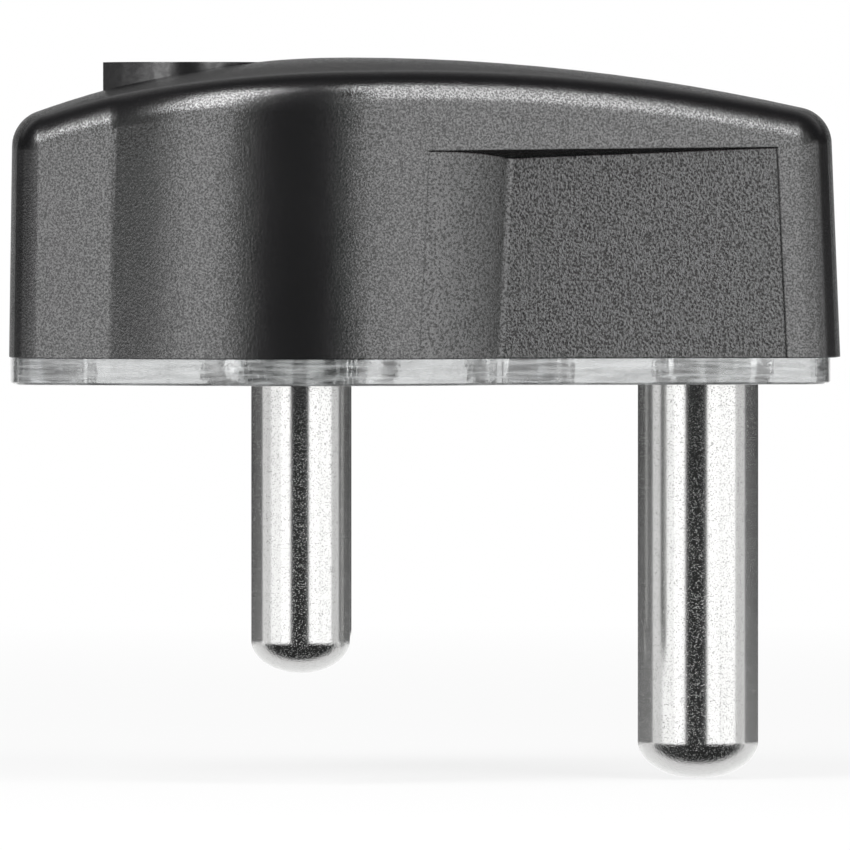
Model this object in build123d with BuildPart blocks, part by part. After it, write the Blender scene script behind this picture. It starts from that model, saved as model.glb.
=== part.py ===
from build123d import *

import math
import os

# A rewirable mains plug with three round pins, a moulded black cover and a clear base.
# Millimetres. The origin is on the earth pin's axis in the engagement face, the underside of the base.
# +X runs from the live and neutral pins to the earth pin's end, +Z away from the socket.

# Pins, to the sizes of the 15 A three round pin system
pin_spacing = 25.4
earth_offset = 28.6
line_pin_diameter = 7.05
line_pin_reach = 20.6
line_tip_height = 2.35
earth_pin_diameter = 8.7
earth_pin_reach = 28.6
earth_tip_height = 2.75
retaining_groove_depth = 0.25
retaining_groove_height = 0.8
groove_lip_start = 0.2
groove_lip_height = 0.4
pin_clearance = 0.05

# Terminals at the pins' inner ends
line_collar_diameter = 10.4
line_head_diameter = 9.6
earth_collar_diameter = 12.0
earth_head_diameter = 11.0
collar_thickness = 1.5
head_chamfer = 0.4
wire_hole_diameter = 4.0
wire_hole_share = 0.4
terminal_screw_diameter = 4.0
terminal_screw_head_diameter = 6.0
terminal_screw_head_height = 2.2
terminal_screw_gap = 0.4
terminal_clearance = 0.3
wire_clamp_thickness = 1.0
slot_width = 0.9
slot_depth = 1.2
thread_clearance = 0.03

# Cover, seen from above
side_margin = 4.775
front_margin = 5.9
rear_length = 21.1
flank_radius = 23.6
flank_taper = 16.0
crease_setback = 13.4
crease_radius = 2.0
nose_taper = 19.0
nose_corner_radius = 2.4
front_corner_radius = 3.1
end_bow = 0.8

# Cover, seen from the side
base_thickness = 1.9
cover_height = 21.55
crown_peak_offset = 3.3
crown_rear_radius = 66.2
crown_front_radius = 150.0
crown_cross_radius = 150.0
top_edge_radius = 2.7
side_draft = 1.5
rear_draft = 0.8
front_draft = 2.3
side_wall = 2.4
top_wall = 2.4

# Grip recesses in the cover's flanks
grip_start = 8.5
grip_corner = 14.2
grip_end = 6.2
grip_depth = 2.6
grip_step = 0.25
grip_ramp_radius = 10.5
grip_corner_radius = 0.7
grip_ceiling_height = 14.95
grip_ceiling_slope = 14.0
grip_ceiling_tilt = 0.6
grip_draft = 1.5
grip_end_draft = 2.7

# Cord sleeve in the crown
sleeve_inset = 12.9
sleeve_diameter = 12.3
sleeve_bore_diameter = 8.6
sleeve_drop = 0.35
sleeve_length = 7.6
sleeve_flange_diameter = 14.6
sleeve_flange_thickness = 1.5
sleeve_mouth_chamfer = 0.5
sleeve_clearance = 0.1
sleeve_housing_wall = 1.3

# Clear base inside the cover
rim_inset = 0.1
front_rim_inset = 0.6
rim_edge_radius = 0.2
spigot_height = 1.8
spigot_wall = 1.3
spigot_clearance = 0.15
pin_boss_height = 3.5
barrier_offset = 8.2
barrier_thickness = 1.2
barrier_height = 7.5
barrier_half_length = 9.5
barrier_gap = 5.0

# Cover screws and their inserts
screw_diameter = 3.0
screw_head_diameter = 5.5
screw_head_height = 1.7
screw_length = 8.4
screw_head_clearance = 0.25
screw_sink = 0.15
screw_hole_clearance = 0.2
cross_width = 0.9
cross_length = 3.2
cross_depth = 1.1
front_screw_setback = 13.0
rear_screw_inset = 5.6
insert_diameter = 4.6
insert_length = 6.0
insert_groove_depth = 0.35
insert_groove_width = 1.2
insert_boss_wall = 1.2
boss_gap = 0.1
boss_bore_reserve = 1.7

# Cord clamp
clamp_offset = 8.7
clamp_width = 5.0
clamp_half_length = 12.0
clamp_screw_offset = 9.2
clamp_bar_thickness = 2.5
clamp_tower_height = 6.5
cord_groove_diameter = 8.8
cord_groove_wall = 1.6
clamp_screw_length = 7.8
clamp_rib_height = 0.5
clamp_rib_width = 0.8

# Places worked out from the sizes above
line_x = -earth_offset
line_y = pin_spacing / 2
half_width = line_y + line_pin_diameter / 2 + side_margin
rear_x = line_x - rear_length
front_x = earth_pin_diameter / 2 + front_margin
crown_top = base_thickness + cover_height
pad_top = base_thickness + spigot_height
boss_top = base_thickness + pin_boss_height
collar_top = boss_top + collar_thickness
crown_peak_x = line_x + crown_peak_offset
crown_drop = (terminal_screw_head_diameter / 2 - crown_peak_x) ** 2 / (2 * (crown_front_radius - top_wall))
head_top = (
    crown_top - top_wall - crown_drop - terminal_clearance - terminal_screw_head_height - terminal_screw_gap
)
wire_hole_z = collar_top + wire_hole_share * (head_top - collar_top)
sleeve_x = rear_x + sleeve_inset
front_screw_x = -front_screw_setback
rear_screw_x = rear_x + rear_screw_inset
clamp_x = line_x + clamp_offset
tower_top = base_thickness + clamp_tower_height
far = 3 * rear_length
cut_reserve = 0.2

os.makedirs("parts", exist_ok=True)


def flank_y(x, tangent):
    """Half-width of the straight tapered flank at x, from the point where the round stretch ends."""
    return tangent.Y - (x - tangent.X) * math.tan(math.radians(flank_taper))


def flank_point(angle, inset=0.0):
    """A point on the round stretch of the flank, by the angle from its widest line."""
    turn = math.radians(angle)
    radius = flank_radius - inset
    return Vector(
        line_x + radius * math.sin(turn),
        half_width - flank_radius + radius * math.cos(turn),
    )


flank_tangent = flank_point(flank_taper)
crease_angle = -math.degrees(math.asin(crease_setback / flank_radius))


def mirrored(point):
    """The same point on the other side of the plug."""
    return Vector(point.X, -point.Y)


def drawn_in(rise, draft):
    """How far a drafted wall has come in at a height above the cover's foot."""
    return rise * math.tan(math.radians(draft))


def cover_plan(rise=0.0, front_inset=0.0):
    """The cover's outline at a height above its foot, without the grip recesses."""
    side_inset = drawn_in(rise, side_draft)
    tangent = flank_point(flank_taper, side_inset)
    widest = flank_point(0, side_inset)
    crease = flank_point(crease_angle, side_inset)
    rear_end = Vector(rear_x + drawn_in(rise, rear_draft), 0)
    front_end = Vector(front_x - front_inset - drawn_in(rise, front_draft), 0)
    nose_x = rear_end.X + end_bow
    nose = Vector(nose_x, crease.Y - (crease.X - nose_x) * math.tan(math.radians(nose_taper)))
    shoulder_x = front_end.X - end_bow
    shoulder = Vector(shoulder_x, flank_y(shoulder_x, tangent))
    with BuildSketch() as plan:
        with BuildLine():
            Line(tangent, shoulder)
            ThreePointArc(shoulder, front_end, mirrored(shoulder))
            Line(mirrored(shoulder), mirrored(tangent))
            ThreePointArc(mirrored(tangent), mirrored(widest), mirrored(crease))
            Line(mirrored(crease), mirrored(nose))
            ThreePointArc(mirrored(nose), rear_end, nose)
            Line(nose, crease)
            ThreePointArc(crease, widest, tangent)
        make_face()
        fillet(plan.vertices().group_by(Axis.X)[1], radius=crease_radius)
        fillet(plan.vertices().group_by(Axis.X)[0], radius=nose_corner_radius)
        fillet(plan.vertices().group_by(Axis.X)[-1], radius=front_corner_radius)
    return plan.sketch


def grip_plan(step=0.0, rise=0.0):
    """What a grip recess takes out of the outline at a height above the cover's foot.

    It has a round ramp, a corner and a flat panel. step is how far its border lies below the flank.
    """
    end_shift = drawn_in(rise, grip_end_draft)
    side_shift = drawn_in(rise, grip_draft)
    start_x = line_x + grip_start + end_shift
    corner_x = line_x + grip_corner + end_shift
    end_x = grip_end - end_shift
    start = Vector(start_x, flank_y(start_x, flank_tangent) - step - side_shift)
    corner = Vector(corner_x, flank_y(corner_x, flank_tangent) - grip_depth - side_shift)
    end = Vector(end_x, flank_y(end_x, flank_tangent) - step - side_shift)
    with BuildSketch() as recess:
        with BuildLine():
            RadiusArc(start, corner, grip_ramp_radius)
            Polyline(corner, end, (end.X, far), (start.X, far), start)
        make_face()
        fillet(recess.vertices().sort_by_distance(corner)[0], radius=grip_corner_radius)
    return recess.sketch


def crown_solid(inset):
    """A barrel under the crown: two tangent arcs turned about a far axis along X."""
    axis_z = crown_top - crown_cross_radius
    peak = Vector(crown_peak_x, crown_top - inset)
    rear_arc = crown_rear_radius - inset
    front_arc = crown_front_radius - inset
    rear_end = Vector(rear_x - end_bow, 0)
    front_end = Vector(front_x + end_bow, 0)
    rear_end.Y = peak.Y - rear_arc + math.sqrt(rear_arc**2 - (peak.X - rear_end.X) ** 2)
    front_end.Y = peak.Y - front_arc + math.sqrt(front_arc**2 - (front_end.X - peak.X) ** 2)
    with BuildPart() as barrel:
        with BuildSketch(Plane.XZ):
            with BuildLine():
                RadiusArc(rear_end, peak, rear_arc)
                RadiusArc(peak, front_end, front_arc)
                Polyline(front_end, (front_end.X, axis_z), (rear_end.X, axis_z), rear_end)
            make_face()
        revolve(axis=Axis((0, 0, axis_z), (1, 0, 0)))
    return barrel.part


def grip_cutter():
    """The space of both grip recesses, open below, with a ceiling that rises outwards and forwards."""
    turn = math.radians(flank_taper)
    slope = math.radians(grip_ceiling_slope)
    tilt = math.radians(grip_ceiling_tilt)
    mouth_x = line_x + grip_corner
    mouth_z = base_thickness + grip_ceiling_height
    ceiling = Plane(
        origin=(mouth_x, flank_y(mouth_x, flank_tangent), mouth_z),
        z_dir=(
            -math.sin(slope) * math.sin(turn) - math.sin(tilt) * math.cos(turn),
            -math.sin(slope) * math.cos(turn) + math.sin(tilt) * math.sin(turn),
            math.cos(slope),
        ),
    )
    with BuildPart() as cutter:
        with BuildSketch(Plane.XY.offset(base_thickness - cut_reserve)):
            add(grip_plan(grip_step, -cut_reserve))
        with BuildSketch(Plane.XY.offset(crown_top)):
            add(grip_plan(grip_step, cover_height))
        loft(ruled=True)
        split(bisect_by=ceiling, keep=Keep.BOTTOM)
        mirror(about=Plane.XZ)
    return cutter.part


# Outlines of the clear base and of the hollow above it, which follow the cover and its recesses
with BuildSketch() as rim_plan:
    add(cover_plan(front_inset=front_rim_inset))
    add([grip_plan(), grip_plan().mirror(Plane.XZ)], mode=Mode.SUBTRACT)
    offset(amount=-rim_inset, mode=Mode.REPLACE)

with BuildSketch() as cavity_plan:
    add(cover_plan())
    add([grip_plan(), grip_plan().mirror(Plane.XZ)], mode=Mode.SUBTRACT)
    offset(amount=-side_wall, mode=Mode.REPLACE)

# Hollow inside the cover, less what stands down from the crown into it
housing_radius = sleeve_flange_diameter / 2 + sleeve_clearance + sleeve_housing_wall
boss_radius = insert_diameter / 2 + insert_boss_wall
sleeve_top = crown_top - sleeve_drop
sleeve_bottom = sleeve_top - sleeve_length
flange_top = sleeve_bottom + 2 * sleeve_flange_thickness
screw_places = [(front_screw_x, 0), (rear_screw_x, 0)]
line_places = [(line_x, line_y), (line_x, -line_y)]

with BuildPart() as cavity:
    with BuildSketch(Plane.XY.offset(base_thickness)):
        add(cavity_plan.sketch)
    extrude(amount=cover_height)
    add(crown_solid(top_wall), mode=Mode.INTERSECT)
    with BuildSketch(Plane.XY.offset(pad_top + boss_gap)):
        with Locations(*screw_places):
            Circle(boss_radius)
    extrude(amount=cover_height, mode=Mode.SUBTRACT)
    with BuildSketch(Plane.XY.offset(sleeve_bottom)):
        with Locations((sleeve_x, 0)):
            Circle(housing_radius)
    extrude(amount=cover_height, mode=Mode.SUBTRACT)
    with BuildSketch(Plane.XY.offset(head_top + boss_gap)):
        with Locations(*line_places):
            Circle(line_head_diameter / 2)
            Circle(terminal_screw_head_diameter / 2 + 2 * terminal_screw_gap, mode=Mode.SUBTRACT)
        Circle(earth_head_diameter / 2)
        Circle(terminal_screw_head_diameter / 2 + 2 * terminal_screw_gap, mode=Mode.SUBTRACT)
    extrude(amount=cover_height, mode=Mode.SUBTRACT)

# Cover: one moulded shell with a crowned top, drafted sides and two grip recesses
with BuildPart() as cover:
    with BuildSketch(Plane.XY.offset(base_thickness)):
        add(cover_plan())
    with BuildSketch(Plane.XY.offset(crown_top + end_bow)):
        add(cover_plan(rise=cover_height + end_bow))
    loft(ruled=True)
    add(crown_solid(0), mode=Mode.INTERSECT)
    rear_crown, front_crown = cover.faces().sort_by(Axis.Z)[-2:].sort_by(Axis.X)
    crown_joint = [edge for edge in rear_crown.edges() if edge in front_crown.edges()]
    crown_rim = (rear_crown.edges() + front_crown.edges()) - crown_joint
    fillet(crown_rim, radius=top_edge_radius)
    add(grip_cutter(), mode=Mode.SUBTRACT)
    add(cavity.part, mode=Mode.SUBTRACT)
    with BuildSketch(Plane.XY.offset(sleeve_bottom)):
        with Locations((sleeve_x, 0)):
            Circle(sleeve_diameter / 2 + sleeve_clearance)
    extrude(amount=cover_height, mode=Mode.SUBTRACT)
    with BuildSketch(Plane.XY.offset(sleeve_bottom)):
        with Locations((sleeve_x, 0)):
            Circle(sleeve_flange_diameter / 2 + sleeve_clearance)
    extrude(amount=flange_top - sleeve_bottom, mode=Mode.SUBTRACT)
    with BuildSketch(Plane.XY.offset(pad_top + boss_gap)):
        with Locations(*screw_places):
            Circle(insert_diameter / 2)
    extrude(amount=insert_length, mode=Mode.SUBTRACT)
    with BuildSketch(Plane.XY.offset(pad_top + boss_gap + insert_length)):
        with Locations(*screw_places):
            Circle(screw_diameter / 2 + screw_hole_clearance)
    extrude(amount=boss_bore_reserve, mode=Mode.SUBTRACT)
cover.part.label = "cover"
export_step(cover.part, "parts/cover.step")

# Cord sleeve: a short rubber bush with a flange caught in the cover's housing
with BuildPart() as cord_sleeve:
    with BuildSketch(Plane.XY.offset(sleeve_bottom)):
        with Locations((sleeve_x, 0)):
            Circle(sleeve_diameter / 2)
    extrude(amount=sleeve_length)
    with BuildSketch(Plane.XY.offset(flange_top - sleeve_flange_thickness)):
        with Locations((sleeve_x, 0)):
            Circle(sleeve_flange_diameter / 2)
    extrude(amount=sleeve_flange_thickness)
    with Locations((sleeve_x, 0, sleeve_top)):
        Hole(sleeve_bore_diameter / 2)
    chamfer(
        cord_sleeve.faces().sort_by(Axis.Z)[-1].edges().sort_by(SortBy.RADIUS)[0],
        length=sleeve_mouth_chamfer,
    )
cord_sleeve.part.label = "cord_sleeve"
export_step(cord_sleeve.part, "parts/cord_sleeve.step")


def pin_bore(x, y, diameter):
    """Bore of the base round a pin, with the lip that snaps into the pin's groove."""
    radius = diameter / 2 + pin_clearance
    lip_radius = radius - retaining_groove_depth
    lip_end = groove_lip_start + groove_lip_height
    with BuildPart() as bore:
        with BuildSketch(Plane(origin=(x, y, 0), x_dir=(1, 0, 0), z_dir=(0, -1, 0))):
            with BuildLine():
                Polyline(
                    (0, -cut_reserve),
                    (radius, -cut_reserve),
                    (radius, groove_lip_start),
                    (lip_radius, groove_lip_start),
                    (lip_radius, lip_end),
                    (radius, lip_end),
                    (radius, boss_top + cut_reserve),
                    (0, boss_top + cut_reserve),
                    close=True,
                )
            make_face()
        revolve(axis=Axis((x, y, 0), (0, 0, 1)))
    return bore.part


# Spigot and screw pads of the base, which fit inside the cover's wall
with BuildSketch() as spigot_hollow:
    add(cavity_plan.sketch)
    offset(amount=-spigot_clearance - spigot_wall, kind=Kind.INTERSECTION, mode=Mode.REPLACE)
    with Locations(*screw_places):
        Circle(boss_radius, mode=Mode.SUBTRACT)

with BuildSketch() as spigot_plan:
    add(cavity_plan.sketch)
    offset(amount=-spigot_clearance, kind=Kind.INTERSECTION, mode=Mode.REPLACE)
    add(spigot_hollow.sketch, mode=Mode.SUBTRACT)

# Clear base: rim plate, spigot, pin bosses, screw pads, cord saddle and a barrier before the earth terminal
barrier_length = barrier_half_length - barrier_gap / 2
barrier_y = (barrier_half_length + barrier_gap / 2) / 2
with BuildPart() as base:
    with BuildSketch():
        add(rim_plan.sketch)
    extrude(amount=base_thickness)
    fillet(base.faces().sort_by(Axis.Z)[0].edges(), radius=rim_edge_radius)
    with BuildSketch(Plane.XY.offset(base_thickness)):
        add(spigot_plan.sketch)
    extrude(amount=spigot_height)
    with BuildSketch(Plane.XY.offset(base_thickness)):
        with Locations(*line_places):
            Circle(line_collar_diameter / 2)
        Circle(earth_collar_diameter / 2)
    extrude(amount=pin_boss_height)
    with BuildSketch(Plane.XY.offset(base_thickness)):
        with Locations((clamp_x, 0)):
            Rectangle(clamp_width, 2 * clamp_half_length)
    extrude(amount=clamp_tower_height)
    with BuildSketch(Plane.YZ.offset(clamp_x)):
        with Locations((0, tower_top)):
            Circle(cord_groove_diameter / 2)
    extrude(amount=clamp_width, both=True, mode=Mode.SUBTRACT)
    with BuildSketch(Plane.XY.offset(base_thickness)):
        with Locations((-barrier_offset, barrier_y), (-barrier_offset, -barrier_y)):
            Rectangle(barrier_thickness, barrier_length)
    extrude(amount=barrier_height)
    for x, y in line_places:
        add(pin_bore(x, y, line_pin_diameter), mode=Mode.SUBTRACT)
    add(pin_bore(0, 0, earth_pin_diameter), mode=Mode.SUBTRACT)
    with BuildSketch():
        with Locations(*screw_places):
            Circle(screw_head_diameter / 2 + screw_head_clearance)
    extrude(amount=screw_sink + screw_head_height, mode=Mode.SUBTRACT)
    with BuildSketch():
        with Locations(*screw_places):
            Circle(screw_diameter / 2 + screw_hole_clearance)
    extrude(amount=pad_top, mode=Mode.SUBTRACT)
    with BuildSketch(Plane.XY.offset(tower_top)):
        with Locations((clamp_x, clamp_screw_offset), (clamp_x, -clamp_screw_offset)):
            Circle(screw_diameter / 2 + thread_clearance)
    extrude(amount=-(clamp_screw_length - clamp_bar_thickness + thread_clearance), mode=Mode.SUBTRACT)
base.part.label = "base"
export_step(base.part, "parts/base.step")


def turned_pin(x, y, diameter, reach, tip_height, collar_diameter, head_diameter):
    """A turned pin with a domed tip, a retaining groove, a collar and a drilled terminal head."""
    radius = diameter / 2
    groove_radius = radius - retaining_groove_depth
    head_radius = head_diameter / 2
    with BuildPart() as pin:
        with BuildSketch(Plane(origin=(x, y, 0), x_dir=(1, 0, 0), z_dir=(0, -1, 0))):
            with BuildLine():
                EllipticalCenterArc(
                    (0, tip_height - reach), radius, tip_height, start_angle=270, arc_size=90
                )
                Polyline(
                    (radius, tip_height - reach),
                    (radius, 0),
                    (groove_radius, 0),
                    (groove_radius, retaining_groove_height),
                    (radius, retaining_groove_height),
                    (radius, boss_top),
                    (collar_diameter / 2, boss_top),
                    (collar_diameter / 2, collar_top),
                    (head_radius, collar_top),
                    (head_radius, head_top - head_chamfer),
                    (head_radius - head_chamfer, head_top),
                    (0, head_top),
                    (0, -reach),
                )
            make_face()
        revolve(axis=Axis((x, y, 0), (0, 0, 1)))
        with BuildSketch(Plane.YZ.offset(x)):
            with Locations((y, wire_hole_z)):
                Circle(wire_hole_diameter / 2)
        extrude(amount=head_diameter, both=True, mode=Mode.SUBTRACT)
        with BuildSketch(Plane.XY.offset(wire_hole_z)):
            with Locations((x, y)):
                Circle(terminal_screw_diameter / 2 + thread_clearance)
        extrude(amount=head_top, mode=Mode.SUBTRACT)
    return pin.part


clamp_plate_bottom = wire_hole_z + wire_hole_diameter / 2
clamp_plate_top = clamp_plate_bottom + wire_clamp_thickness


def terminal_screw(x, y):
    """A slotted cheese head screw, backed off so that the wire hole is open."""
    under_head = head_top + terminal_screw_gap
    with BuildPart() as screw:
        with BuildSketch(Plane.XY.offset(clamp_plate_top)):
            with Locations((x, y)):
                Circle(terminal_screw_diameter / 2)
        extrude(amount=under_head - clamp_plate_top)
        with BuildSketch(Plane.XY.offset(under_head)):
            with Locations((x, y)):
                Circle(terminal_screw_head_diameter / 2)
        extrude(amount=terminal_screw_head_height)
        fillet(screw.edges().group_by(Axis.Z)[-1], radius=head_chamfer)
        with BuildSketch(Plane.XY.offset(under_head + terminal_screw_head_height)):
            with Locations((x, y)):
                Rectangle(slot_width, terminal_screw_head_diameter)
        extrude(amount=-slot_depth, mode=Mode.SUBTRACT)
    return screw.part


def wire_clamp(x, y):
    """The loose pressure disc under a terminal screw, which spares the strands."""
    with BuildPart() as disc:
        with BuildSketch(Plane.XY.offset(clamp_plate_bottom)):
            with Locations((x, y)):
                Circle(terminal_screw_diameter / 2 - thread_clearance)
        extrude(amount=wire_clamp_thickness)
        chamfer(disc.edges().group_by(Axis.Z)[0], length=wire_clamp_thickness / 3)
    return disc.part


# The three ways: pin, terminal screw and pressure disc for each. Live is on the right when facing the socket.
ways = {
    "live": (line_x, -line_y, line_pin_diameter, line_pin_reach, line_tip_height,
             line_collar_diameter, line_head_diameter),
    "neutral": (line_x, line_y, line_pin_diameter, line_pin_reach, line_tip_height,
                line_collar_diameter, line_head_diameter),
    "earth": (0, 0, earth_pin_diameter, earth_pin_reach, earth_tip_height,
              earth_collar_diameter, earth_head_diameter),
}
for way, sizes in ways.items():
    pin_part = turned_pin(*sizes)
    pin_part.label = f"{way}_pin"
    export_step(pin_part, f"parts/{way}_pin.step")
    screw_part = terminal_screw(*sizes[:2])
    screw_part.label = f"{way}_terminal_screw"
    export_step(screw_part, f"parts/{way}_terminal_screw.step")
    disc_part = wire_clamp(*sizes[:2])
    disc_part.label = f"{way}_wire_clamp"
    export_step(disc_part, f"parts/{way}_wire_clamp.step")


def cross_head_screw(place, drive, length):
    """A pan head screw with a cross recess. drive is +1 where the head faces up, -1 where it faces down."""
    with BuildPart() as screw:
        with BuildSketch(Plane.XY.offset(place[2])):
            with Locations(place[:2]):
                Circle(screw_diameter / 2)
        extrude(amount=-drive * length)
        with BuildSketch(Plane.XY.offset(place[2])):
            with Locations(place[:2]):
                Circle(screw_head_diameter / 2)
        extrude(amount=drive * screw_head_height)
        fillet(screw.edges().group_by(Axis.Z, reverse=drive < 0)[-1], radius=screw_head_height / 3)
        with BuildSketch(Plane.XY.offset(place[2] + drive * screw_head_height)):
            with Locations(place[:2]):
                Rectangle(cross_width, cross_length)
                Rectangle(cross_length, cross_width)
        extrude(amount=-drive * cross_depth, mode=Mode.SUBTRACT)
    return screw.part


def threaded_insert(x, y):
    """A brass insert moulded into the cover, with a keying groove round its middle."""
    bottom = pad_top + boss_gap
    with BuildPart() as insert:
        with BuildSketch(Plane.XY.offset(bottom)):
            with Locations((x, y)):
                Circle(insert_diameter / 2)
                Circle(screw_diameter / 2 + thread_clearance, mode=Mode.SUBTRACT)
        extrude(amount=insert_length)
        with BuildSketch(Plane.XY.offset(bottom + (insert_length - insert_groove_width) / 2)):
            with Locations((x, y)):
                Circle(insert_diameter / 2 + insert_groove_depth)
                Circle(insert_diameter / 2 - insert_groove_depth, mode=Mode.SUBTRACT)
        extrude(amount=insert_groove_width, mode=Mode.SUBTRACT)
    return insert.part


# Cover screws, driven up through the base into inserts in the cover
for end, (x, y) in zip(("front", "rear"), screw_places):
    cover_screw = cross_head_screw((x, y, screw_sink + screw_head_height), -1, screw_length)
    cover_screw.label = f"{end}_cover_screw"
    export_step(cover_screw, f"parts/{end}_cover_screw.step")
    insert_part = threaded_insert(x, y)
    insert_part.label = f"{end}_cover_insert"
    export_step(insert_part, f"parts/{end}_cover_insert.step")

# Cord clamp: a bar arched over the cord, with two gripping ribs
with BuildPart() as cord_clamp:
    with BuildSketch(Plane.YZ.offset(clamp_x)):
        with Locations((0, tower_top + clamp_bar_thickness / 2)):
            Rectangle(2 * clamp_half_length, clamp_bar_thickness)
        with Locations((0, tower_top)):
            Circle(cord_groove_diameter / 2 + cord_groove_wall)
            Circle(cord_groove_diameter / 2, mode=Mode.SUBTRACT)
        with Locations((0, tower_top - half_width)):
            Rectangle(2 * half_width, 2 * half_width, mode=Mode.SUBTRACT)
    extrude(amount=clamp_width / 2, both=True)
    with BuildSketch(Plane.YZ.offset(clamp_x)):
        with Locations((0, tower_top)):
            Circle(cord_groove_diameter / 2 + clamp_rib_height)
            Circle(cord_groove_diameter / 2 - clamp_rib_height, mode=Mode.SUBTRACT)
        with Locations((0, tower_top - half_width)):
            Rectangle(2 * half_width, 2 * half_width, mode=Mode.SUBTRACT)
    extrude(amount=clamp_rib_width / 2, both=True)
    with Locations((clamp_x, clamp_screw_offset, tower_top), (clamp_x, -clamp_screw_offset, tower_top)):
        Hole(screw_diameter / 2 + screw_hole_clearance)
cord_clamp.part.label = "cord_clamp"
export_step(cord_clamp.part, "parts/cord_clamp.step")

for side, y in (("left", clamp_screw_offset), ("right", -clamp_screw_offset)):
    place = (clamp_x, y, tower_top + clamp_bar_thickness)
    clamp_screw = cross_head_screw(place, 1, clamp_screw_length)
    clamp_screw.label = f"{side}_clamp_screw"
    export_step(clamp_screw, f"parts/{side}_clamp_screw.step")
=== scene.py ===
"""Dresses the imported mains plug: a black moulded cover on a clear base with three plated pins."""

from __future__ import annotations

import logging
import math
from dataclasses import dataclass
from enum import Enum
from typing import Any, Mapping, Sequence

import bmesh
import bpy
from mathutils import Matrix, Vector

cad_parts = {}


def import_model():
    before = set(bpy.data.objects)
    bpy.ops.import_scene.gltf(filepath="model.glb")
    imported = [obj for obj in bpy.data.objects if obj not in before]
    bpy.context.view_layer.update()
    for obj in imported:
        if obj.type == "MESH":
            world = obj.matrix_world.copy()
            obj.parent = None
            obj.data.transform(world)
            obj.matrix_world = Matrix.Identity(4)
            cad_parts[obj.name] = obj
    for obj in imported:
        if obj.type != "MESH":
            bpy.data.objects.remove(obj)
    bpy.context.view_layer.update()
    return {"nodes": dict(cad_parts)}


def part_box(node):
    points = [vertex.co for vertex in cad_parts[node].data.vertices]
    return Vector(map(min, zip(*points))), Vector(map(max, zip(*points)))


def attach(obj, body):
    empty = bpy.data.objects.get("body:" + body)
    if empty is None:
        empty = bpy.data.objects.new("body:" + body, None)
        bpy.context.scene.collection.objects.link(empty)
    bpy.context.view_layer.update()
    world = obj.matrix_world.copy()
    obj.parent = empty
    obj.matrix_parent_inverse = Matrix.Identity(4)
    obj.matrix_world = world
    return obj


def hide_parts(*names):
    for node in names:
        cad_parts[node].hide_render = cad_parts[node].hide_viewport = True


MM = 0.001
BODY = "root"
RANGE = "RANGE"
RANGE_INPUTS = ("Value", "From Min", "From Max", "To Min", "To Max")
NOISE_MIDDLE = 0.5
WHITE = "#ffffff"
# Watts for each square metre of a panel that looks white.
ENERGY_OF_WHITE = 4.0
log = logging.getLogger("plug")


class Slot(Enum):
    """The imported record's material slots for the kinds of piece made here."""

    BASE = "clear_plastic"
    STEEL = "screw_steel"


def linear(colour: str) -> tuple[float, float, float, float]:
    """Turns an sRGB hex colour into the linear values that shaders use.

    Args:
        colour: The colour as "#rrggbb".

    Returns:
        Linear red, green and blue, with an alpha of 1.
    """
    parts = [int(colour[i : i + 2], 16) / 255 for i in (1, 3, 5)]
    red, green, blue = (c / 12.92 if c <= 0.04045 else ((c + 0.055) / 1.055) ** 2.4 for c in parts)
    return red, green, blue, 1.0


def add_node(
    tree: bpy.types.NodeTree, kind: str, inputs: Mapping[str | int, Any] | None = None, **settings: Any
) -> bpy.types.Node:
    """Adds one node, with its settings, its inputs' values and its incoming links.

    Args:
        tree: The node tree that gets the node.
        kind: The node's type, such as "ShaderNodeMath".
        inputs: A value or an output socket for each input, by name or number.
        **settings: The node's own properties.

    Returns:
        The new node.
    """
    node = tree.nodes.new(kind)
    for name, value in settings.items():
        setattr(node, name, value)
    for key, value in (inputs or {}).items():
        if isinstance(value, bpy.types.NodeSocket):
            tree.links.new(value, node.inputs[key])
        else:
            node.inputs[key].default_value = value
    return node


def value_chain(tree: bpy.types.NodeTree, start: Any, *steps: tuple[Any, ...]) -> bpy.types.NodeSocket:
    """Works out a value in a row of steps.

    Args:
        tree: The node tree.
        start: The first value, a number or a socket.
        *steps: A math operation with its second operand if it has one, or RANGE with a range's ends before
            and after.

    Returns:
        The last step's output.
    """
    value = start
    for operation, *operands in steps:
        if operation == RANGE:
            kind, keys, settings = "ShaderNodeMapRange", RANGE_INPUTS, {}
        else:
            kind, keys, settings = "ShaderNodeMath", (0, 1), {"operation": operation}
        value = add_node(tree, kind, dict(zip(keys, (value, *operands))), **settings).outputs[0]
    return value


def scale_for(size_mm: float) -> float:
    """Returns the texture scale whose pattern repeats about every size_mm in Object coordinates."""
    return 1 / (size_mm * MM)


@dataclass(frozen=True)
class Finish:
    """A finish whose material is a Principled shader with a bumped surface.

    Attributes:
        name: The material's name.
        colour: Its sRGB hex colour.
        roughness: The gloss shader's roughness.
    """

    name: str
    colour: str
    roughness: float

    def material(self) -> bpy.types.Material:
        """Builds the material, or finds it when it is already there.

        Returns:
            The material.
        """
        known = bpy.data.materials.get(self.name)
        if known:
            return known
        made = bpy.data.materials.new(self.name)
        made.use_nodes = True
        tree = made.node_tree
        tree.nodes.clear()
        shader = add_node(
            tree,
            "ShaderNodeBsdfPrincipled",
            {"Base Color": linear(self.colour), "Roughness": self.roughness},
        )
        add_node(tree, "ShaderNodeOutputMaterial", {"Surface": shader.outputs[0]})
        self.dress(tree, shader)
        return made

    def dress(self, tree: bpy.types.NodeTree, shader: bpy.types.Node) -> None:
        """Adds this finish's own nodes. A plain finish has none.

        Args:
            tree: The material's node tree.
            shader: Its Principled node.
        """


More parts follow.
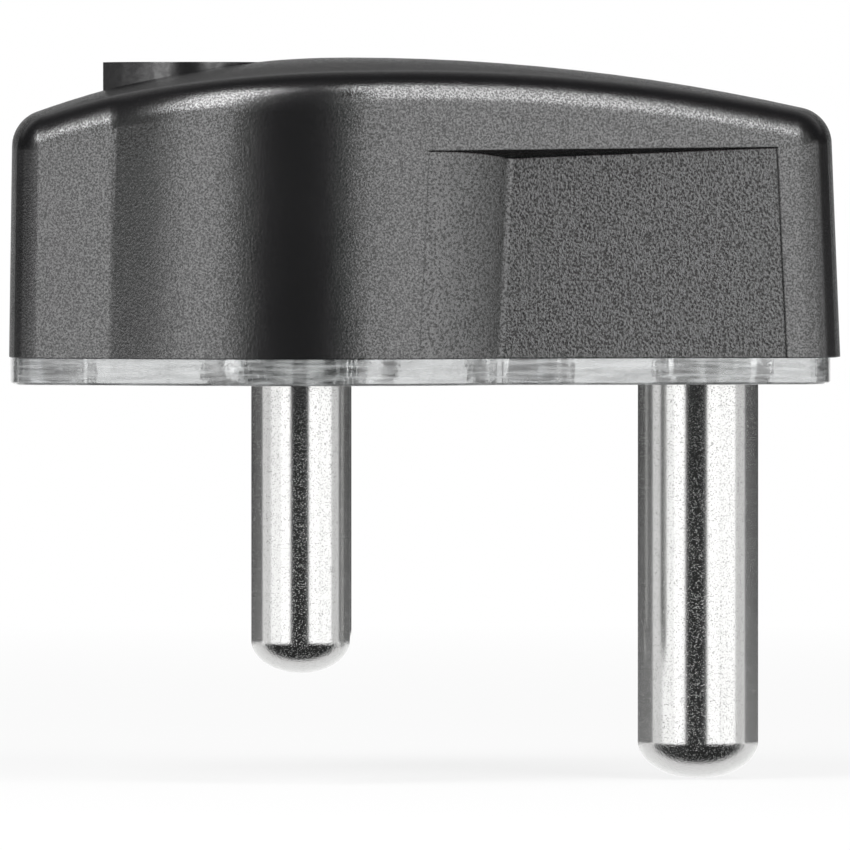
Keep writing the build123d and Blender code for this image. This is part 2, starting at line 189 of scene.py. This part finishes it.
@dataclass(frozen=True)
class GripField:
    """Where the cover's grip recesses lie, in millimetres, so that their own grain and the painted sheen that
    brightens them can be told apart.

    Attributes:
        taper: Angle of the cover's straight flank, in degrees.
        flank: Distance of that flank's foot from the frame's origin, square to the flank.
        draft: Draft of the flank, in degrees.
        foot: Height of the cover's foot.
        near: Smallest x of the recess.
        far: Largest x of the recess.
        top: Highest z of the recess.
        depth: How far behind the flank a point has to lie.
    """

    taper: float = 16.0
    flank: float = 13.218
    draft: float = 1.5
    foot: float = 1.9
    near: float = -20.4
    far: float = 6.4
    top: float = 17.2
    depth: float = 0.12

    def mask(self, tree: bpy.types.NodeTree, coordinates: bpy.types.NodeSocket) -> bpy.types.NodeSocket:
        """Builds a value of 1 inside the recesses and 0 elsewhere.

        Args:
            tree: The material's node tree.
            coordinates: Object coordinates.

        Returns:
            The mask's output.
        """
        axes = add_node(tree, "ShaderNodeSeparateXYZ", {0: coordinates}).outputs
        turn, lean = math.radians(self.taper), math.tan(math.radians(self.draft))
        across = value_chain(tree, axes[1], ("ABSOLUTE",), ("MULTIPLY", math.cos(turn)))
        along = value_chain(tree, axes[0], ("MULTIPLY", math.sin(turn)))
        drawn = value_chain(tree, axes[2], ("SUBTRACT", self.foot * MM), ("MULTIPLY", lean))
        distance = value_chain(tree, across, ("ADD", along), ("ADD", drawn))
        behind = value_chain(tree, distance, ("LESS_THAN", (self.flank - self.depth) * MM))
        right_of = value_chain(tree, axes[0], ("GREATER_THAN", self.near * MM))
        left_of = value_chain(tree, axes[0], ("LESS_THAN", self.far * MM))
        below = value_chain(tree, axes[2], ("LESS_THAN", self.top * MM))
        return value_chain(
            tree, behind, ("MULTIPLY", right_of), ("MULTIPLY", left_of), ("MULTIPLY", below)
        )


@dataclass(frozen=True)
class GrainedPolymer(Finish):
    """Polymer with the grain of the tool that moulded it, which breaks up the gloss, with painted shade in the
    grain's valleys and a painted sheen in the grip recesses.

    Attributes:
        grain: Pitch of the grain outside, in millimetres.
        grain_depth: Height of that grain.
        grip_grain: Pitch of the coarser grain in the grip recesses.
        grip_depth: Height of that grain.
        grip_contrast: How much more that grain changes the gloss than the grain outside.
        grip_painted_sheen: How much the recesses' gloss is lifted, a painted sheen that makes them brighter.
        dulling: How much rougher the grain's valleys are than its tops.
        dull_range: Values of the grain's noise between which that roughness fades out.
        gloss_and_painted_valley_shade: Least and greatest strength of the gloss, in the grain's valleys and on
            its tops; the dim valleys are partly the grain's own gloss and partly painted shade.
        painted_shade_range: Values of the grain's noise between which the gloss rises out of that painted
            shade.
        cloud: Pitch of the slow changes in the shine.
        cloud_change: Their size, in roughness.
        edge: Radius of the worn edges.
        density: Refractive index of the skin, above plain rubber's 1.5 to match the object's strong gloss.
        field: Where the recesses lie, or None for a piece without any.
    """

    grain: float = 0.135
    grain_depth: float = 0.013
    grip_grain: float = 0.18
    grip_depth: float = 0.040
    grip_contrast: float = 1.5
    grip_painted_sheen: float = 0.06
    dulling: float = 0.06
    dull_range: tuple[float, float] = (0.42, 0.58)
    gloss_and_painted_valley_shade: tuple[float, float] = (0.30, 0.66)
    painted_shade_range: tuple[float, float] = (0.38, 0.62)
    cloud: float = 9.0
    cloud_change: float = 0.03
    edge: float = 0.12
    density: float = 1.8
    field: GripField | None = None

    def dress(self, tree: bpy.types.NodeTree, shader: bpy.types.Node) -> None:
        """Adds the two grains with the painted shade in their valleys and the painted sheen in the recesses,
        the slight shine changes and the softened edges.

        Args:
            tree: The material's node tree.
            shader: Its Principled node.
        """
        shader.inputs["IOR"].default_value = self.density
        coordinates = add_node(tree, "ShaderNodeTexCoord").outputs["Object"]
        fine = add_node(
            tree,
            "ShaderNodeTexNoise",
            {"Vector": coordinates, "Scale": scale_for(self.grain), "Detail": 2.0, "Roughness": 0.55},
        ).outputs["Fac"]
        height = value_chain(tree, fine, ("MULTIPLY", self.grain_depth * MM))
        grain_and_recess_sheen = fine
        if self.field:
            coarse = add_node(
                tree,
                "ShaderNodeTexNoise",
                {"Vector": coordinates, "Scale": scale_for(self.grip_grain), "Detail": 2.5, "Roughness": 0.6},
            ).outputs["Fac"]
            grip_height = value_chain(tree, coarse, ("MULTIPLY", self.grip_depth * MM))
            inside = self.field.mask(tree, coordinates)
            height = add_node(tree, "ShaderNodeMix", {0: inside, 2: height, 3: grip_height}).outputs[0]
            # The recesses' grain changes the gloss more, and is lifted as a painted sheen that brightens the
            # recesses.
            grip_grain_and_painted_sheen = value_chain(
                tree,
                coarse,
                ("SUBTRACT", NOISE_MIDDLE),
                ("MULTIPLY", self.grip_contrast),
                ("ADD", NOISE_MIDDLE + self.grip_painted_sheen),
            )
            grain_and_recess_sheen = add_node(tree, "ShaderNodeMix", {0: inside, 2: fine, 3: grip_grain_and_painted_sheen}).outputs[0]
        valleys = value_chain(tree, grain_and_recess_sheen, (RANGE, *self.dull_range, self.dulling, 0.0))
        # Weaker gloss in the grain's valleys: partly the grain's own gloss, partly painted shade.
        gloss_and_painted_shade = value_chain(tree, grain_and_recess_sheen, (RANGE, *self.painted_shade_range, *self.gloss_and_painted_valley_shade))
        cloud = add_node(
            tree, "ShaderNodeTexNoise", {"Vector": coordinates, "Scale": scale_for(self.cloud), "Detail": 3.0}
        ).outputs["Fac"]
        least, most = self.roughness - self.cloud_change, self.roughness + self.cloud_change
        shine = value_chain(tree, cloud, (RANGE, 0.0, 1.0, least, most), ("ADD", valleys))
        worn = add_node(tree, "ShaderNodeBevel", {"Radius": self.edge * MM}, samples=4).outputs[0]
        bump = add_node(
            tree,
            "ShaderNodeBump",
            {"Strength": 1.0, "Distance": 1.0, "Height": height, "Normal": worn},
        ).outputs[0]
        tree.links.new(gloss_and_painted_shade, shader.inputs["Specular IOR Level"])
        tree.links.new(shine, shader.inputs["Roughness"])
        tree.links.new(bump, shader.inputs["Normal"])


@dataclass(frozen=True)
class ClearPolycarbonate(Finish):
    """Clear injection-moulded polycarbonate: glassy, with slow flow waves and faint drawn streaks of haze.

    Attributes:
        wave: Pitch of the flow waves, in millimetres.
        wave_depth: Their height.
        streak: Length of a streak along the wall.
        streak_height: Its height.
        clarity: Least and greatest share of the light that goes straight through.
        haze_range: Values of the streaks' noise between which the plastic turns clear.
        density: Refractive index of polycarbonate.
    """

    wave: float = 1.2
    wave_depth: float = 0.020
    streak: float = 3.0
    streak_height: float = 0.25
    clarity: tuple[float, float] = (0.60, 0.95)
    haze_range: tuple[float, float] = (0.35, 0.65)
    density: float = 1.58

    def dress(self, tree: bpy.types.NodeTree, shader: bpy.types.Node) -> None:
        """Makes the shader clear and adds the flow waves and the haze.

        Args:
            tree: The material's node tree.
            shader: Its Principled node.
        """
        shader.inputs["IOR"].default_value = self.density
        coordinates = add_node(tree, "ShaderNodeTexCoord").outputs["Object"]
        drawn = add_node(
            tree,
            "ShaderNodeMapping",
            {"Vector": coordinates, "Scale": (1.0, 1.0, self.streak / self.streak_height)},
        ).outputs[0]
        streaks = add_node(
            tree, "ShaderNodeTexNoise", {"Vector": drawn, "Scale": scale_for(self.streak), "Detail": 4.0}
        ).outputs["Fac"]
        clear = value_chain(tree, streaks, (RANGE, *self.haze_range, *self.clarity))
        waves = add_node(
            tree, "ShaderNodeTexNoise", {"Vector": coordinates, "Scale": scale_for(self.wave), "Detail": 2.0}
        ).outputs["Fac"]
        bump = add_node(
            tree, "ShaderNodeBump", {"Strength": 1.0, "Distance": self.wave_depth * MM, "Height": waves}
        ).outputs[0]
        tree.links.new(clear, shader.inputs["Transmission Weight"])
        tree.links.new(bump, shader.inputs["Normal"])


@dataclass(frozen=True)
class PinTips:
    """Where the pins' domed tips start, in millimetres.

    Attributes:
        shoulder: Height at which the two thin pins' shanks end.
        drop: How much lower the earth pin's shank ends.
        side: The x that parts the earth pin from the other two.
        blend: Height over which the tips' marks fade in.
    """

    shoulder: float = -18.25
    drop: float = 7.6
    side: float = -14.0
    blend: float = 0.3

    def mask(self, tree: bpy.types.NodeTree, coordinates: bpy.types.NodeSocket) -> bpy.types.NodeSocket:
        """Builds a value of 1 on the tips and 0 on the shanks.

        Args:
            tree: The material's node tree.
            coordinates: Object coordinates.

        Returns:
            The mask's output.
        """
        axes = add_node(tree, "ShaderNodeSeparateXYZ", {0: coordinates}).outputs
        lower = value_chain(tree, axes[0], ("GREATER_THAN", self.side * MM), ("MULTIPLY", self.drop * MM))
        height = value_chain(tree, axes[2], ("ADD", lower))
        marked, plain = (self.shoulder - self.blend) * MM, self.shoulder * MM
        return value_chain(tree, height, (RANGE, marked, plain, 1.0, 0.0))


@dataclass(frozen=True)
class TurnedMetal(Finish):
    """Metal turned on a lathe: fine rings round the axis, a polished skin with small pits, and beaten tips.

    Attributes:
        ring: Pitch of the turning rings, in millimetres, drawn coarser than real so that they show.
        ring_depth: Their height.
        ring_run: Scale of the rings' pattern across the axis, small so that a ring runs round.
        pit: Pitch of the skin's pits, drawn coarser than real so that they show.
        pit_depth: Their depth.
        pitted: Parts of the noise between which a pit's wall falls, near its top, so that pits are sparse.
        hammer: Pitch of the tumbling marks on the tips.
        hammer_depth: Their depth.
        smear: Pitch of the slow changes in the shine.
        smear_change: Their size, as a share of the roughness.
        tips: Where the pins' tips are, or None for a piece without any.
    """

    ring: float = 0.12
    ring_depth: float = 0.0005
    ring_run: float = 0.02
    pit: float = 0.10
    pit_depth: float = 0.0100
    pitted: tuple[float, float] = (0.62, 0.68)
    hammer: float = 0.13
    hammer_depth: float = 0.022
    smear: float = 2.5
    smear_change: float = 0.15
    tips: PinTips | None = None

    def dress(self, tree: bpy.types.NodeTree, shader: bpy.types.Node) -> None:
        """Makes the shader metallic and adds the rings, the pits and the marks.

        Args:
            tree: The material's node tree.
            shader: Its Principled node.
        """
        shader.inputs["Metallic"].default_value = 1.0
        coordinates = add_node(tree, "ShaderNodeTexCoord").outputs["Object"]
        along = add_node(
            tree, "ShaderNodeMapping", {"Vector": coordinates, "Scale": (self.ring_run, self.ring_run, 1.0)}
        ).outputs[0]
        rings, pits, smears = (
            add_node(
                tree, "ShaderNodeTexNoise", {"Vector": vector, "Scale": scale_for(pitch), "Detail": detail}
            ).outputs["Fac"]
            for vector, pitch, detail in (
                (along, self.ring, 2.0),
                (coordinates, self.pit, 1.0),
                (coordinates, self.smear, 4.0),
            )
        )
        sunk = value_chain(tree, pits, (RANGE, *self.pitted, 0.0, -self.pit_depth * MM))
        height = value_chain(tree, rings, ("MULTIPLY", self.ring_depth * MM), ("ADD", sunk))
        if self.tips:
            marks = add_node(
                tree,
                "ShaderNodeTexNoise",
                {"Vector": coordinates, "Scale": scale_for(self.hammer), "Detail": 3.0},
            ).outputs["Fac"]
            on_tips = self.tips.mask(tree, coordinates)
            beaten = value_chain(tree, marks, ("MULTIPLY", self.hammer_depth * MM), ("MULTIPLY", on_tips))
            height = value_chain(tree, height, ("ADD", beaten))
        bump = add_node(
            tree, "ShaderNodeBump", {"Strength": 1.0, "Distance": 1.0, "Height": height}
        ).outputs[0]
        least, most = self.roughness * (1 - self.smear_change), self.roughness * (1 + self.smear_change)
        shine = value_chain(tree, smears, (RANGE, 0.0, 1.0, least, most))
        tree.links.new(shine, shader.inputs["Roughness"])
        tree.links.new(bump, shader.inputs["Normal"])


# PVC rubber moulded in a spark-eroded tool: near black, with a strong gloss that its fine grain breaks up,
# with painted shade in the grain's valleys and a painted sheen in the grip recesses.
COVER_RUBBER = GrainedPolymer("moulded_pvc_rubber", "#0d0d0e", 0.20, field=GripField())
# Soft rubber from a polished tool: the same black, but smooth, with a clean satin gloss.
SLEEVE_RUBBER = GrainedPolymer(
    "smooth_sleeve_rubber", "#141415", 0.24, grain=0.5, grain_depth=0.006, dulling=0.02, gloss_and_painted_valley_shade=(0.4, 0.6)
)
# Injection-moulded polycarbonate: glassy, with flow waves that bend what stands behind it.
CLEAR_BASE = ClearPolycarbonate("clear_polycarbonate", "#c4c6c6", 0.06)
# Brass turned, tumbled and nickel plated: a cool mirror with fine specks and finely beaten tips.
NICKEL = TurnedMetal("nickel_plated_brass", "#b5b5b4", 0.17, tips=PinTips())
# Bare turned brass: warm yellow, with turning rings that catch the light.
BRASS = TurnedMetal("turned_brass", "#d0ab60", 0.25, ring_depth=0.0015)
# Zinc plated steel: pale and a little blue, duller than nickel.
ZINC = TurnedMetal("zinc_plated_steel", "#b9bbbe", 0.28)
# Moulded nylon: dark grey and matt, with a soft wide gloss.
NYLON = GrainedPolymer(
    "moulded_nylon", "#262628", 0.5, grain=0.4, grain_depth=0.012, dulling=0.04, gloss_and_painted_valley_shade=(0.4, 0.6), density=1.53
)


@dataclass
class PackedPieces:
    """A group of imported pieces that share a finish.

    Attributes:
        title: The group's name in the log.
        names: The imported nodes.
        finish: What they are dressed in.
    """

    title: str
    names: Sequence[str]
    finish: Finish

    def build(self, nodes: Mapping[str, bpy.types.Object]) -> None:
        """Gives each piece its material.

        Args:
            nodes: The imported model's objects by name.
        """
        material = self.finish.material()
        for name in self.names:
            for place in nodes[name].material_slots:
                place.material = material
        log.info("%s: %d pieces in %s", self.title, len(self.names), material.name)


def plain_piece(
    source: bpy.types.Object, name: str, material: bpy.types.Material
) -> bpy.types.Object:
    """Turns an object with modifiers into a plain mesh that rides on the body.

    Args:
        source: The object to evaluate. It is removed.
        name: The new piece's name.
        material: Its material.

    Returns:
        The new piece.
    """
    bpy.context.view_layer.update()
    evaluated = source.evaluated_get(bpy.context.evaluated_depsgraph_get())
    mesh = bpy.data.meshes.new_from_object(evaluated)
    bpy.data.objects.remove(source)
    mesh.name = name
    mesh.materials.clear()
    mesh.materials.append(material)
    piece = bpy.data.objects.new(name, mesh)
    bpy.context.scene.collection.objects.link(piece)
    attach(piece, BODY)
    log.info("%s: %d faces", name, len(mesh.polygons))
    return piece


@dataclass
class ScrewThreads:
    """Rolled threads on the screws' shanks, which show through the clear base.

    Attributes:
        names: The screws, by node.
        radius: Radius of a shank, in millimetres.
        pitch: Pitch of the thread.
        ridge: Height of the ridge over the shank.
        run: Length of the threaded stretch.
        head: Height of a screw's head.
        gap: Plain length left under the head.
        around: Corners in one turn of the thread.
        corners: Corners of the ridge's section.
    """

    names: Sequence[str] = ("front_cover_screw", "rear_cover_screw", "left_clamp_screw", "right_clamp_screw")
    radius: float = 1.5
    pitch: float = 0.5
    ridge: float = 0.06
    run: float = 7.0
    head: float = 1.7
    gap: float = 0.3
    around: int = 24
    corners: int = 4

    def places(self) -> list[Vector]:
        """Returns the lower end of each thread, in metres."""
        found = []
        for name in self.names:
            low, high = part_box(name)
            plain = (self.head + self.gap) * MM
            head_down = "cover" in name
            start = low.z + plain if head_down else high.z - plain - self.run * MM
            found.append(Vector(((low.x + high.x) / 2, (low.y + high.y) / 2, start)))
        return found

    def tree(self, material: bpy.types.Material) -> bpy.types.NodeTree:
        """Builds the node tree that sweeps a ridge along a helix at every point.

        Args:
            material: The thread's material.

        Returns:
            The tree, with named inputs for its sizes.
        """
        made = bpy.data.node_groups.new("rolled_thread", "GeometryNodeTree")
        made.interface.new_socket("Geometry", in_out="INPUT", socket_type="NodeSocketGeometry")
        for name in ("Radius", "Pitch", "Ridge", "Run"):
            made.interface.new_socket(name, in_out="INPUT", socket_type="NodeSocketFloat")
        made.interface.new_socket("Geometry", in_out="OUTPUT", socket_type="NodeSocketGeometry")
        given = add_node(made, "NodeGroupInput").outputs
        turns = add_node(made, "ShaderNodeMath", {0: given["Run"], 1: given["Pitch"]}, operation="DIVIDE")
        helix = add_node(
            made,
            "GeometryNodeCurveSpiral",
            {
                "Resolution": self.around,
                "Rotations": turns.outputs[0],
                "Start Radius": given["Radius"],
                "End Radius": given["Radius"],
                "Height": given["Run"],
            },
        )
        profile = add_node(
            made, "GeometryNodeCurvePrimitiveCircle", {"Resolution": self.corners, "Radius": given["Ridge"]}
        )
        ridge = add_node(
            made,
            "GeometryNodeCurveToMesh",
            {"Curve": helix.outputs["Curve"], "Profile Curve": profile.outputs["Curve"], "Fill Caps": True},
        )
        spread = add_node(
            made,
            "GeometryNodeInstanceOnPoints",
            {"Points": given["Geometry"], "Instance": ridge.outputs["Mesh"]},
        )
        real = add_node(made, "GeometryNodeRealizeInstances", {0: spread.outputs["Instances"]})
        dressed = add_node(
            made, "GeometryNodeSetMaterial", {"Geometry": real.outputs[0], "Material": material}
        )
        add_node(made, "NodeGroupOutput", {0: dressed.outputs["Geometry"]})
        return made

    def build(self) -> bpy.types.Object:
        """Makes the threads as one plain mesh.

        Returns:
            The new piece.
        """
        material = ZINC.material()
        seeds = bpy.data.meshes.new("thread_places")
        seeds.from_pydata([tuple(p) for p in self.places()], [], [])
        source = bpy.data.objects.new("thread_places", seeds)
        bpy.context.scene.collection.objects.link(source)
        tree = self.tree(material)
        modifier = source.modifiers.new("thread", "NODES")
        modifier.node_group = tree
        sizes = {"Radius": self.radius, "Pitch": self.pitch, "Ridge": self.ridge, "Run": self.run}
        for item in tree.interface.items_tree:
            if item.in_out == "INPUT" and item.name in sizes:
                modifier[item.identifier] = sizes[item.name] * MM
        return plain_piece(source, "screw_threads", material)


@dataclass
class SeatedBase:
    """The clear base as a closed piece, let in by a hair where the black cover stands on it.

    Attributes:
        seat: Height of the face that the cover stands on, in millimetres.
        air: Gap of air under the cover's foot, so that the clear plastic keeps its own shine.
        reach: Distance within which corners count as one.
        crease: Angle past which an edge stays sharp, in degrees.
    """

    seat: float = 1.9
    air: float = 0.02
    reach: float = 0.001
    crease: float = 30.0

    def build(self, nodes: Mapping[str, bpy.types.Object]) -> bpy.types.Object:
        """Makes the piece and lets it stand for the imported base.

        Args:
            nodes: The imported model's objects by name.

        Returns:
            The new piece.
        """
        material = CLEAR_BASE.material()
        shape = bmesh.new()
        shape.from_mesh(nodes["base"].data)
        bmesh.ops.remove_doubles(shape, verts=shape.verts, dist=self.reach * MM)
        for vertex in shape.verts:
            if abs(vertex.co.z - self.seat * MM) < self.reach * MM:
                vertex.co.z -= self.air * MM
        for edge in shape.edges:
            sharp = len(edge.link_faces) != 2 or edge.calc_face_angle(0.0) > math.radians(self.crease)
            edge.smooth = not sharp
        for face in shape.faces:
            face.smooth = True
        mesh = bpy.data.meshes.new("clear_base")
        shape.to_mesh(mesh)
        shape.free()
        mesh.materials.append(material)
        piece = bpy.data.objects.new("clear_base", mesh)
        bpy.context.scene.collection.objects.link(piece)
        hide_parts("base")
        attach(piece, BODY)
        log.info("clear base: %d faces", len(mesh.polygons))
        return piece


@dataclass(frozen=True)
class LightPanel:
    """A soft box or lit screen that faces the plug and that the camera doesn't see.

    Attributes:
        name: The lamp's name.
        azimuth: Angle of its middle from the camera's axis, in degrees, positive to the right.
        elevation: Angle of its middle over the horizon.
        spread: Angle that its width covers.
        rise: Angle that its height covers.
        glow: Its brightness, where 1 is white.
        distance: Its distance from the plug, in metres.
    """

    name: str
    azimuth: float
    elevation: float
    spread: float
    rise: float
    glow: float
    distance: float = 0.5

    def build(self, centre: Vector) -> bpy.types.Object:
        """Hangs the panel in its place.

        Args:
            centre: The plug's middle, in metres.

        Returns:
            The lamp.
        """
        turn, lift = math.radians(self.azimuth), math.radians(self.elevation)
        away = Vector((math.sin(turn) * math.cos(lift), -math.cos(turn) * math.cos(lift), math.sin(lift)))
        data = bpy.data.lights.new(self.name, "AREA")
        data.shape = "RECTANGLE"
        data.size = 2 * self.distance * math.tan(math.radians(self.spread / 2))
        data.size_y = 2 * self.distance * math.tan(math.radians(self.rise / 2))
        data.energy = ENERGY_OF_WHITE * self.glow * data.size * data.size_y
        lamp = bpy.data.objects.new(self.name, data)
        lamp.location = centre + away * self.distance
        lamp.rotation_mode = "QUATERNION"
        lamp.rotation_quaternion = (-away).to_track_quat("-Z", "Y")
        lamp.visible_camera = False
        bpy.context.scene.collection.objects.link(lamp)
        return lamp


@dataclass(frozen=True)
class FarGlow:
    """A bright part of the surroundings, which the camera doesn't see.

    Attributes:
        fades: Each fade's axis of direction, 1 for back or 2 for up, and its range's ends before and after.
    """

    fades: Sequence[tuple[int, float, float, float, float]]

    def level(self, tree: bpy.types.NodeTree, axes: Any) -> bpy.types.NodeSocket:
        """Builds the part's brightness.

        Args:
            tree: The world's node tree.
            axes: The direction's three parts.

        Returns:
            The brightness, where 1 is white.
        """
        first, *others = (value_chain(tree, axes[axis], (RANGE, *ends)) for axis, *ends in self.fades)
        return value_chain(tree, first, *(("MULTIPLY", other) for other in others))


@dataclass
class Studio:
    """Pale floor, white surroundings, light panels and the camera.

    Attributes:
        frame_width: Width of the picture at the plug, in millimetres.
        distance: Camera's distance from the plug.
        aim: Point that the picture is centred on.
        eye_height: Camera's height.
        floor_height: Height of the floor.
        floor_reach: Distance from its middle to its edge.
        halo: Distances from the middle between which the floor turns fully white.
        halo_share: How white it is at those two distances.
        board: The floor's sRGB hex colour.
        sensor: Width of the camera's sensor.
        clip: Nearest and farthest distance that the camera sees.
        backdrop: The low strip of the backdrop.
        table: The lit table behind the plug.
        canopy: The pale canopy over the backdrop.
        room: Brightness of the dim room.
        lights: The panels round the plug.
    """

    frame_width: float = 61.37
    distance: float = 1200.0
    aim: tuple[float, float, float] = (-19.71, 0.0, -3.08)
    eye_height: float = 16.0
    floor_height: float = -28.6
    floor_reach: float = 6000.0
    halo: tuple[float, float] = (50.0, 400.0)
    halo_share: tuple[float, float] = (0.85, 1.0)
    board: str = "#e6e6e6"
    sensor: float = 36.0
    clip: tuple[float, float] = (10.0, 50000.0)
    backdrop: FarGlow = FarGlow(((1, 0.985, 0.996, 0.0, 0.95), (2, 0.09, 0.15, 1.0, 0.0)))
    table: FarGlow = FarGlow(((1, 0.04, 0.16, 0.0, 1.4), (2, -0.10, -0.02, 1.0, 0.0)))
    canopy: FarGlow = FarGlow(
        ((2, 0.20, 0.32, 0.0, 1.0), (1, 0.50, 0.92, 0.10, 0.35), (1, 0.30, 0.50, 0.0, 1.0))
    )
    room: float = 0.045
    lights: Sequence[LightPanel] = (
        LightPanel("left_soft_box", -35.5, 14.0, 25.0, 48.0, 1.95),
        LightPanel("right_soft_box", 31.5, 14.0, 27.0, 48.0, 1.9),
        LightPanel("left_screen", -60.0, 20.0, 24.0, 30.0, 0.25),
        LightPanel("left_low_screen", -60.0, -4.0, 24.0, 12.0, 1.7),
        LightPanel("right_screen", 59.0, 20.0, 29.0, 28.0, 0.5),
        LightPanel("right_low_screen", 60.0, -2.0, 30.0, 16.0, 1.8),
        LightPanel("left_side_screen", -85.0, -4.0, 26.0, 12.0, 1.1),
        LightPanel("right_side_screen", 87.0, 0.0, 26.0, 20.0, 0.9),
        LightPanel("left_lamp_head", -45.0, 50.0, 25.0, 38.0, 6.4),
        LightPanel("right_lamp_head", 41.0, 50.0, 20.0, 38.0, 4.9),
    )

    def camera(self) -> None:
        """Makes the camera at the photograph's angle."""
        data = bpy.data.cameras.new("camera")
        camera = bpy.data.objects.new("camera", data)
        bpy.context.scene.collection.objects.link(camera)
        aim = Vector(self.aim) * MM
        camera.location = Vector((aim.x, -self.distance * MM, self.eye_height * MM))
        sight = aim - camera.location
        camera.rotation_mode = "QUATERNION"
        camera.rotation_quaternion = sight.to_track_quat("-Z", "Y")
        data.sensor_width = self.sensor
        data.lens = data.sensor_width * sight.length / (self.frame_width * MM)
        data.clip_start, data.clip_end = (distance * MM for distance in self.clip)
        bpy.context.scene.camera = camera

    def surroundings(self) -> None:
        """Makes the world: white to the camera and through clear plastic, a dim room to everything else.

        The gloss also sees a low strip of the backdrop, a pale canopy over it and, below the horizon, the lit
        table behind the plug.
        """
        world = bpy.data.worlds.new("surroundings")
        world.use_nodes = True
        bpy.context.scene.world = world
        tree = world.node_tree
        tree.nodes.clear()
        towards = add_node(tree, "ShaderNodeTexCoord").outputs["Generated"]
        axes = add_node(tree, "ShaderNodeSeparateXYZ", {0: towards}).outputs

        glows = [glow.level(tree, axes) for glow in (self.backdrop, self.table, self.canopy)]
        room = value_chain(tree, glows[0], *(("MAXIMUM", level) for level in (*glows[1:], self.room)))
        ray = add_node(tree, "ShaderNodeLightPath").outputs
        # Less than half a mirroring on the way means none: the ray came through the clear plastic only.
        straight = value_chain(
            tree, ray["Glossy Depth"], ("LESS_THAN", 0.5), ("MULTIPLY", ray["Is Transmission Ray"])
        )
        seen = value_chain(tree, ray["Is Camera Ray"], ("MAXIMUM", straight))
        strength = add_node(tree, "ShaderNodeMix", {0: seen, 2: room, 3: 1.0}).outputs[0]
        glow = add_node(tree, "ShaderNodeBackground", {"Color": linear(WHITE), "Strength": strength})
        add_node(tree, "ShaderNodeOutputWorld", {"Surface": glow.outputs[0]})

    def sheet(self, name: str, outline: Sequence[tuple[float, float]], height: float) -> bpy.types.Object:
        """Makes a flat stage sheet.

        Args:
            name: The sheet's name.
            outline: Its corners, counterclockwise, in millimetres.
            height: Its height, in millimetres.

        Returns:
            The sheet.
        """
        mesh = bpy.data.meshes.new(name)
        corners = [(x * MM, y * MM, height * MM) for x, y in outline]
        mesh.from_pydata(corners, [], [tuple(range(len(corners)))])
        made = bpy.data.objects.new(name, mesh)
        bpy.context.scene.collection.objects.link(made)
        return made

    def floor(self) -> None:
        """Lays the pale floor, which keeps the plug's shadow and fades into the white surroundings."""
        reach = self.floor_reach
        made = self.sheet(
            "floor", ((-reach, -reach), (reach, -reach), (reach, reach), (-reach, reach)), self.floor_height
        )
        # White painted board: pale and matt, so that it takes the plug's shadow softly.
        material = bpy.data.materials.new("white_painted_board")
        material.use_nodes = True
        tree = material.node_tree
        tree.nodes.clear()
        place = add_node(tree, "ShaderNodeTexCoord").outputs["Object"]
        reached = add_node(tree, "ShaderNodeVectorMath", {0: place}, operation="LENGTH").outputs["Value"]
        start, end = (distance * MM for distance in self.halo)
        fade = value_chain(tree, reached, (RANGE, start, end, *self.halo_share))
        matt = add_node(tree, "ShaderNodeBsdfDiffuse", {"Color": linear(self.board)})
        white = add_node(tree, "ShaderNodeEmission", {"Color": linear(WHITE), "Strength": 1.0})
        ray = add_node(tree, "ShaderNodeLightPath").outputs
        seen = value_chain(
            tree, ray["Is Camera Ray"], ("MAXIMUM", ray["Is Transmission Ray"]), ("MULTIPLY", fade)
        )
        shown = add_node(tree, "ShaderNodeMixShader", {0: seen, 1: matt.outputs[0], 2: white.outputs[0]})
        add_node(tree, "ShaderNodeOutputMaterial", {"Surface": shown.outputs[0]})
        made.data.materials.append(material)
        made.visible_glossy = False

    def build(self) -> None:
        """Sets up the whole studio."""
        self.camera()
        self.surroundings()
        self.floor()
        for light in self.lights:
            light.build(Vector(self.aim) * MM)
        bpy.context.scene.view_settings.view_transform = "Standard"
        log.info("studio: camera, floor and %d lights", len(self.lights))


def main() -> None:
    """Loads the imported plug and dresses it, group by group."""
    logging.basicConfig(level=logging.INFO, format="%(name)s: %(message)s")
    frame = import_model()
    nodes = frame["nodes"]
    Studio().build()
    ways = ("earth", "live", "neutral")
    groups = (
        PackedPieces("cover", ["cover"], COVER_RUBBER),
        PackedPieces("cord sleeve", ["cord_sleeve"], SLEEVE_RUBBER),
        PackedPieces("pins", [f"{way}_pin" for way in ways], NICKEL),
        PackedPieces("terminal screws", [f"{way}_terminal_screw" for way in ways], ZINC),
        PackedPieces("wire clamps", [f"{way}_wire_clamp" for way in ways], BRASS),
        PackedPieces("cover screws", ["front_cover_screw", "rear_cover_screw"], ZINC),
        PackedPieces("cover inserts", ["front_cover_insert", "rear_cover_insert"], BRASS),
        PackedPieces("cord clamp", ["cord_clamp"], NYLON),
        PackedPieces("clamp screws", ["left_clamp_screw", "right_clamp_screw"], ZINC),
    )
    for group in groups:
        group.build(nodes)
    SeatedBase().build(nodes)
    ScrewThreads().build()


if __name__ == "__main__":
    main()
